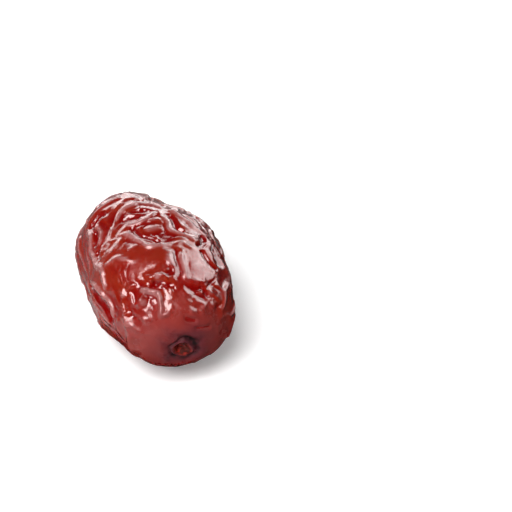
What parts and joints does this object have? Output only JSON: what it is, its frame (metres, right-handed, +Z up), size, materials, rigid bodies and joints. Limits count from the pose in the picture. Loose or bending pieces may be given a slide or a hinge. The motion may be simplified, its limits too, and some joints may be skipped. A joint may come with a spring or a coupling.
{
  "type": "dried jujube fruit",
  "caption": "Wrinkled oval dried fruit lying on its side on a small flat spot, with a shallow stem cup at one end.",
  "frame": {"origin": "on the surface the fruit rests on, under the middle of its box", "axes": "+Z up, -Y towards the stem end, so Y runs along the fruit and X across it"},
  "size_m": [0.0314, 0.046, 0.0261],
  "materials": {
    "skin": "glossy, wrinkled, dusky round the stem cup"
  },
  "bodies": {
    "root": {"dried_jujube": "skin"}
  },
  "joints": []
}
